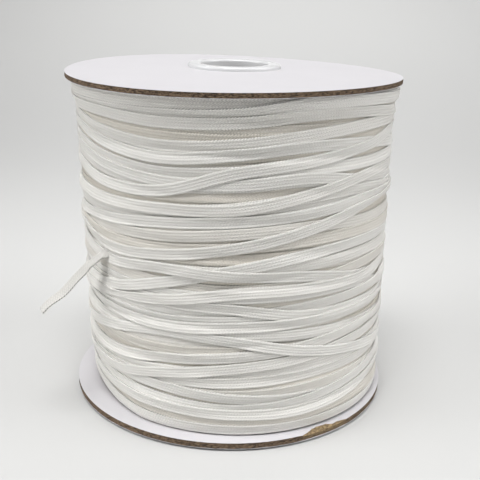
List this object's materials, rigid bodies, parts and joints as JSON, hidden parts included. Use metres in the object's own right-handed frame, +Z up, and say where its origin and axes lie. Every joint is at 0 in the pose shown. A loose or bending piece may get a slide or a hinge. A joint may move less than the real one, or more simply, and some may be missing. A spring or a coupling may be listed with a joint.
{
  "type": "roll of elastic",
  "caption": "Roll of flat braided elastic wound on a tube between two card discs with hub collars, with a through bore and a loose end.",
  "frame": {"origin": "on the roll's axis at the foot of the lower hub's collar, where the roll stands", "axes": "+Z up along the roll's bore; -Y is the front, and the loose end hangs at the front left, towards -X"},
  "size_m": [0.1044, 0.1, 0.102],
  "materials": {
    "elastic": "matt white braid",
    "card": "white paper-faced board",
    "tube": "plain brown board",
    "hub": "glossy white moulding"
  },
  "bodies": {
    "root": {"disc_bottom": "card", "disc_top": "card", "hub_bottom": "hub", "hub_top": "hub", "core_tube": "tube", "winding": "elastic", "loose_end": "elastic"}
  },
  "joints": []
}
